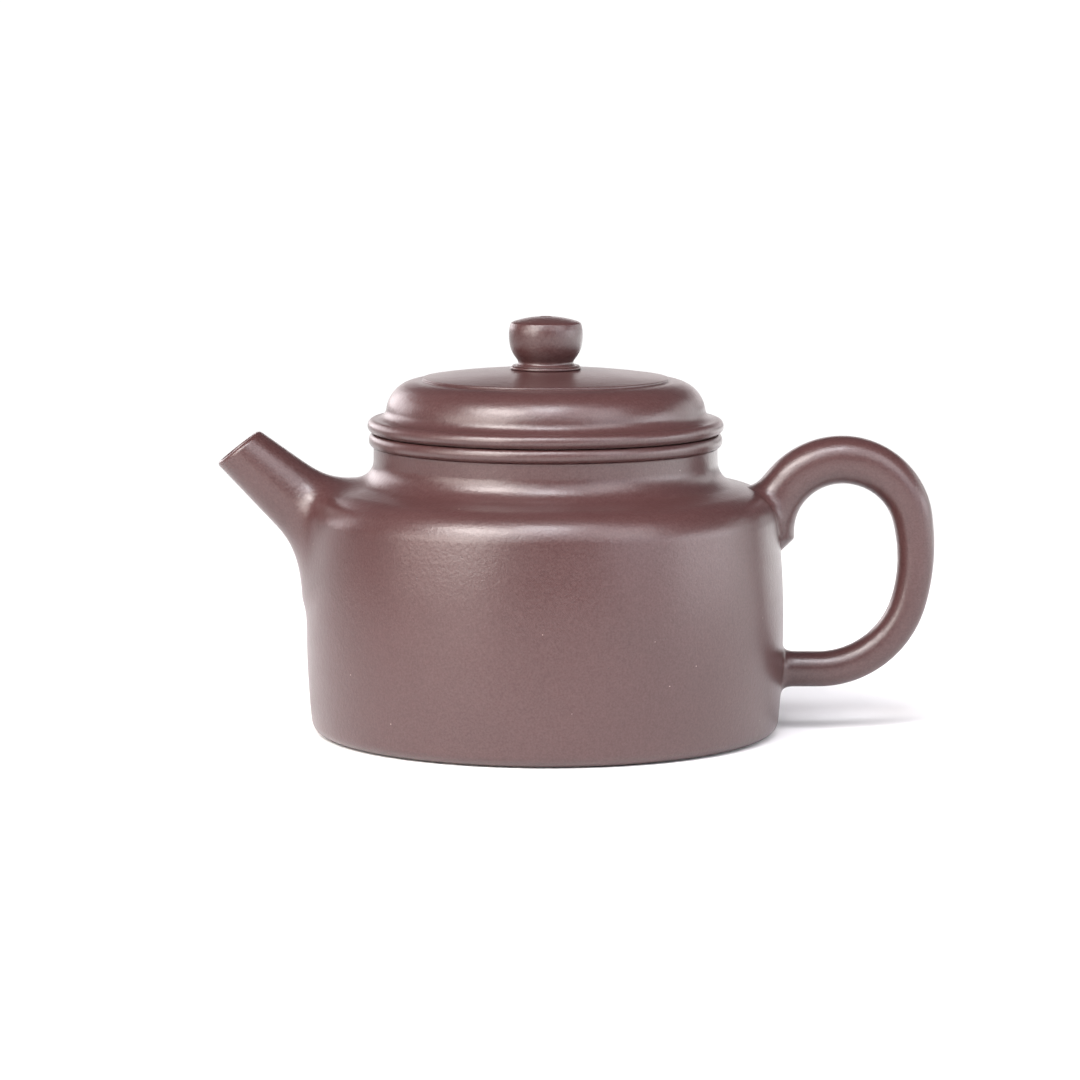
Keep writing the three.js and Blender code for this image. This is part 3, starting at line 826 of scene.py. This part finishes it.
low, high = strainer_centre - STRAINER_RADIUS - 0.6, strainer_centre + STRAINER_RADIUS + 0.6
points, faces, normals = surface_net(strainer_field, low, high, STRAINER_STEP)
strainer = add_mesh("ball_strainer_fine", points, faces, [raw_clay], normals=normals)


# ---- The lid ----

lip_foot = RING_TOP + LID_REST_GAP
lip_centre = (LIP_RADIUS - LIP_SWELL, lip_foot + LIP_SWELL)
seam = radians(DOME_SEAM)
dome_centre = (
    DOME_RADIUS,
    lip_foot + 2 * LIP_SWELL + LIP_FILLET - (DOME_ROUND + LIP_FILLET) * math.sin(seam),
)
fillet_centre = on_circle(dome_centre, DOME_ROUND + LIP_FILLET, seam)
lid_top = dome_centre[1] + DOME_ROUND
flange_radius = NECK_RADIUS - SLAB - FLANGE_CLEARANCE
flange_inside = flange_radius - FLANGE_WALL


def under_lid(r, z):
    """Whether a place on the outline is under the lid, where the clay is left rough."""
    if r < DOME_RADIUS:
        return z < lid_top - 1
    side = math.dist((r, z), dome_centre)
    return z < lip_foot + 0.2 or (side < DOME_ROUND - 1 and r < 28.5)


lid_dome = lathe(
    "lid_dome",
    [
        *line((flange_inside, lip_foot), (LIP_RADIUS - LIP_SWELL, lip_foot), 2),
        *arc(lip_centre, LIP_SWELL, -math.pi / 2, math.pi / 2, 0.1),
        *arc(fillet_centre, LIP_FILLET, 1.5 * math.pi, math.pi + seam, 0.12),
        *arc(dome_centre, DOME_ROUND, seam, math.pi / 2, 0.2),
        *line((DOME_RADIUS - 1, lid_top), (VENT_RADIUS, lid_top), 3),
        *line((VENT_RADIUS, lid_top - SLAB + 0.3), (VENT_RADIUS + 0.3, lid_top - SLAB)),
        *line((2, lid_top - SLAB), (DOME_RADIUS, lid_top - SLAB), 2),
        *arc(dome_centre, DOME_ROUND - SLAB, math.pi / 2, seam, 0.3),
        *line(on_circle(dome_centre, DOME_ROUND - SLAB, seam), (flange_inside, lip_foot)),
    ],
    finishes,
    TURNED_SEGMENTS,
    under_lid,
)

lid_flange = lathe(
    "lid_flange_fine",
    rounded(
        [
            (flange_inside, lip_foot - 0.02),
            (flange_inside, lip_foot - FLANGE_DEPTH),
            (flange_radius, lip_foot - FLANGE_DEPTH),
            (flange_radius, lip_foot - 0.02),
        ],
        [0.5, 0.9],
    ),
    [raw_clay],
    TURNED_SEGMENTS,
)

crown_base = lid_top + DISC_EDGE - math.sqrt(DISC_CROWN**2 - DISC_RADIUS**2)


def crown(r):
    """Height of the raised disc's slight dome."""
    return crown_base + math.sqrt(DISC_CROWN**2 - r * r)


disc_rows = [(r, crown(r)) for r in np.linspace(DISC_RADIUS, DISC_LAND, 14)]
lid_disc = lathe(
    "lid_top_disc_fine",
    [
        *rounded(
            [(VENT_RADIUS, lid_top), (DISC_RADIUS + 0.12, lid_top), (DISC_RADIUS, lid_top + 0.12)],
            [0],
        ),
        *rounded(
            [(DISC_RADIUS, lid_top + 0.12), (DISC_RADIUS, crown(DISC_RADIUS)), disc_rows[1]],
            [0.28],
            0.06,
        ),
        *disc_rows[2:],
        (VENT_RADIUS, crown(DISC_LAND)),
    ],
    finishes,
    TURNED_SEGMENTS,
)

seat_foot = crown(DISC_LAND)
knob_foot = seat_foot + SEAT_HEIGHT
knob_seat = lathe(
    "knob_seat_fine",
    [
        (VENT_RADIUS, seat_foot),
        (SEAT_RADIUS - 0.1, seat_foot),
        *arc((SEAT_RADIUS - 0.32, seat_foot + 0.34), (0.32, 0.3), -math.pi / 2, math.pi / 2, 0.07),
        *arc((SEAT_RADIUS - 0.55, seat_foot + 0.74), (0.22, 0.1), -math.pi / 2, 0, 0.05),
        *arc((SEAT_RADIUS - 0.59, seat_foot + 0.74), (0.26, 0.16), 0, math.pi / 2, 0.05),
        (VENT_RADIUS, knob_foot),
    ],
    finishes,
    KNOB_SEGMENTS,
)


def spline(points, per_span=8):
    """A smooth curve through the points."""
    p = np.array([points[0], *points, points[-1]], float)
    out = []
    for i in range(1, len(p) - 2):
        for t in np.linspace(0, 1, per_span, endpoint=False):
            a, b, c, d = p[i - 1 : i + 3]
            place = 2 * b + (c - a) * t
            place = place + (2 * a - 5 * b + 4 * c - d) * t**2 + (3 * b - a - 3 * c + d) * t**3
            out.append(tuple(0.5 * place))
    out.append(tuple(p[-2]))
    return out


# Radius, and height above the knob's foot.
KNOB_SIDE = [
    (5.75, 0.0),
    (5.42, 0.3),
    (5.4, 0.75),
    (5.75, 1.3),
    (6.3, 2.1),
    (6.8, 3.15),
    (7.08, 4.4),
    (7.17, 5.8),
    (7.1, 6.9),
    (6.95, 7.55),
]
KNOB_CROWN_EDGE = (6.5, 8.34)
KNOB_TOP = 9.42
crown_rise = KNOB_TOP - KNOB_CROWN_EDGE[1]
crown_round = (KNOB_CROWN_EDGE[0] ** 2 + crown_rise**2) / (2 * crown_rise)


def knob_crown(r):
    """Height of the knob's crown above its foot."""
    return KNOB_TOP - crown_round + math.sqrt(crown_round**2 - r * r)


knob_outline = [
    (VENT_RADIUS, 0),
    *spline(KNOB_SIDE),
    *rounded([KNOB_SIDE[-1], (6.78, 8.14), (6.3, knob_crown(6.3))], [0.3], 0.05),
    *[(r, knob_crown(r)) for r in np.linspace(6.1, VENT_RADIUS + 0.35, 22)],
    *arc((VENT_RADIUS + 0.3, knob_crown(1.3) - 0.3), 0.3, math.pi / 2, math.pi, 0.06),
    *line((VENT_RADIUS, knob_crown(1.3) - 0.4), (VENT_RADIUS, 0.2), 1),
]
knob = lathe("knob_fine", [(r, z + knob_foot) for r, z in knob_outline], finishes, KNOB_SEGMENTS)


# ---- What rides where ----

for piece, body, finish, nodes in (
    (pot_shell, "pot", "clay", ["base_disc", "body_wall", "shoulder", "neck"]),
    (mouth_ring, "pot", "clay", ["mouth_ring"]),
    (spout, "pot", "clay", ["spout"]),
    (handle, "pot", "clay", ["handle"]),
    (strainer, "pot", "raw_clay", ["ball_strainer"]),
    (lid_flange, "lid_collar", "raw_clay", ["lid_flange"]),
    (lid_dome, "lid", "clay", ["lid_lip_ring", "lid_plate"]),
    (lid_disc, "lid", "clay", ["lid_top_disc"]),
    (knob_seat, "lid", "clay", ["knob_seat"]),
    (knob, "lid", "clay", ["knob"]),
):
    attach(piece, body)
    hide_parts(*nodes)


# ---- Floor, light and camera (metres) ----

FLOOR_RADIUS, FADE_START, FADE_END = 0.5, 0.2, 0.45
FLOOR_GAP = 0.0002


def plain_material(name, colour, roughness):
    material = bpy.data.materials.new(name)
    material.use_nodes = True
    shader = material.node_tree.nodes["Principled BSDF"]
    shader.inputs["Base Color"].default_value = (*colour, 1)
    shader.inputs["Roughness"].default_value = roughness
    shader.inputs["Specular IOR Level"].default_value = 0.2
    return material


def add_floor():
    """A pale sheet that fades out into the white surroundings."""
    turn = np.linspace(0, 2 * math.pi, 97)[:-1]
    mesh = bpy.data.meshes.new("floor")
    rim = [(FLOOR_RADIUS * math.cos(a), FLOOR_RADIUS * math.sin(a), 0) for a in turn]
    mesh.from_pydata(rim, [], [tuple(range(len(rim)))])
    material = plain_material("floor_white", (0.9, 0.9, 0.9), 0.8)
    tree = material.node_tree
    place = node(tree, "ShaderNodeTexCoord").outputs["Object"]
    away = node(tree, "ShaderNodeVectorMath", {0: place}, operation="LENGTH").outputs["Value"]
    fade = ranged(tree, away, FADE_START, FADE_END, 0.0, 1.0)
    clear = node(tree, "ShaderNodeBsdfTransparent").outputs[0]
    both = {0: fade, 1: tree.nodes["Principled BSDF"].outputs[0], 2: clear}
    mix = node(tree, "ShaderNodeMixShader", both)
    tree.links.new(mix.outputs[0], tree.nodes["Material Output"].inputs["Surface"])
    mesh.materials.append(material)
    floor = bpy.data.objects.new("floor", mesh)
    floor.location.z = cad_box[0].z - FLOOR_GAP
    bpy.context.scene.collection.objects.link(floor)


LAMP_DISTANCE = 1.5
LAMP_TARGET = (0, 0, 0.04)


def add_softbox(name, azimuth, elevation, width, height, brightness):
    """A soft rectangle of light; its angles and spans are in degrees as seen from the pot.

    Azimuth 0 is the camera's side, positive to the right.
    """
    across = 2 * LAMP_DISTANCE * math.tan(radians(width / 2)) * math.cos(radians(elevation))
    tall = 2 * LAMP_DISTANCE * math.tan(radians(height / 2))
    data = bpy.data.lights.new(name, "AREA")
    data.shape = "RECTANGLE"
    data.size, data.size_y = across, tall
    data.energy = math.pi * across * tall
    data.color = brightness
    lamp = bpy.data.objects.new(name, data)
    a, e = radians(azimuth), radians(elevation)
    way = Vector((math.sin(a) * math.cos(e), -math.cos(a) * math.cos(e), math.sin(e)))
    lamp.location = Vector(LAMP_TARGET) + way * LAMP_DISTANCE
    lamp.rotation_mode = "QUATERNION"
    lamp.rotation_quaternion = way.to_track_quat("Z", "Y")
    lamp.visible_camera = False
    bpy.context.scene.collection.objects.link(lamp)


BELOW_LEFT, BELOW_RIGHT = (0.75, 0.75, 0.75), (3.0, 3.0, 3.0)
ABOVE = (0.12, 0.12, 0.13)


def add_world():
    """White to the camera. To the clay, dim all round and above, and pale below, mostly right."""
    world = bpy.data.worlds.new("studio")
    bpy.context.scene.world = world
    world.use_nodes = True
    tree = world.node_tree
    tree.nodes.clear()
    way = node(tree, "ShaderNodeTexCoord").outputs["Generated"]
    split = node(tree, "ShaderNodeSeparateXYZ", {0: way})
    high = ranged(tree, split.outputs["Z"], -0.05, 0.02, 0.0, 1.0)
    low = mixed(tree, ranged(tree, split.outputs["X"], -1, 1, 0, 1), BELOW_LEFT, BELOW_RIGHT)
    tone = mixed(tree, high, low, ABOVE)
    seen = node(tree, "ShaderNodeBackground", {"Color": (1, 1, 1, 1), "Strength": 1.05})
    around = node(tree, "ShaderNodeBackground", {"Color": tone, "Strength": 1.0})
    path = node(tree, "ShaderNodeLightPath")
    mix = node(
        tree,
        "ShaderNodeMixShader",
        {0: path.outputs["Is Camera Ray"], 1: around.outputs[0], 2: seen.outputs[0]},
    )
    node(tree, "ShaderNodeOutputWorld", {"Surface": mix.outputs[0]})


# Name, azimuth, elevation, width, height (degrees) and brightness of each soft box.
LAMPS = (
    ("left_low", -62, 14, 28, 18, (6.2, 5.6, 5.3)),
    ("key_low", -38, 16, 24, 22, (9.0, 8.5, 8.1)),
    ("key_middle", -46, 33, 36, 15, (6.6, 6.4, 6.3)),
    ("key_high", -42, 46, 42, 17, (19.0, 17.8, 17.3)),
    ("front_left", -15, 30, 20, 18, (4.0, 4.4, 4.5)),
    ("front_high", 0, 46, 30, 12, (7.0, 6.6, 7.1)),
    ("top_middle", 0, 60, 34, 13, (18.0, 18.0, 18.8)),
    ("top_left", -36, 62, 36, 14, (2.8, 2.6, 2.6)),
    ("top_right", 36, 62, 36, 14, (2.6, 2.5, 2.6)),
    ("front_right", 20, 32, 28, 18, (2.4, 2.5, 2.6)),
    ("right_middle", 48, 32, 28, 18, (4.6, 4.5, 4.6)),
    ("right_high", 48, 48, 40, 14, (3.9, 3.6, 3.8)),
    ("right_low", 45, 14, 28, 18, (2.7, 2.8, 3.1)),
    ("side_right", 84, 9, 42, 17, (4.8, 4.7, 4.9)),
    ("back_right", 125, 12, 36, 20, (2.0, 2.0, 2.0)),
    ("back_left", -138, 13, 40, 20, (4.0, 3.7, 3.8)),
    ("behind", 180, 9, 60, 14, (1.9, 1.8, 1.8)),
)
CAMERA_PLACE = (-0.00106, -0.8467, 0.1421)
CAMERA_FALL, CAMERA_ROLL, CAMERA_PAN = 0.12326, -0.0019, 0.000235  # radians

add_floor()
add_world()
for lamp in LAMPS:
    add_softbox(*lamp)

camera_data = bpy.data.cameras.new("camera")
camera_data.sensor_width = 36
camera_data.lens = 146.0
camera_data.clip_start, camera_data.clip_end = 0.05, 30
camera = bpy.data.objects.new("camera", camera_data)
camera.location = CAMERA_PLACE
camera.rotation_euler = (math.pi / 2 - CAMERA_FALL, CAMERA_ROLL, CAMERA_PAN)
bpy.context.scene.collection.objects.link(camera)
bpy.context.scene.camera = camera
bpy.context.scene.view_settings.view_transform = "Standard"
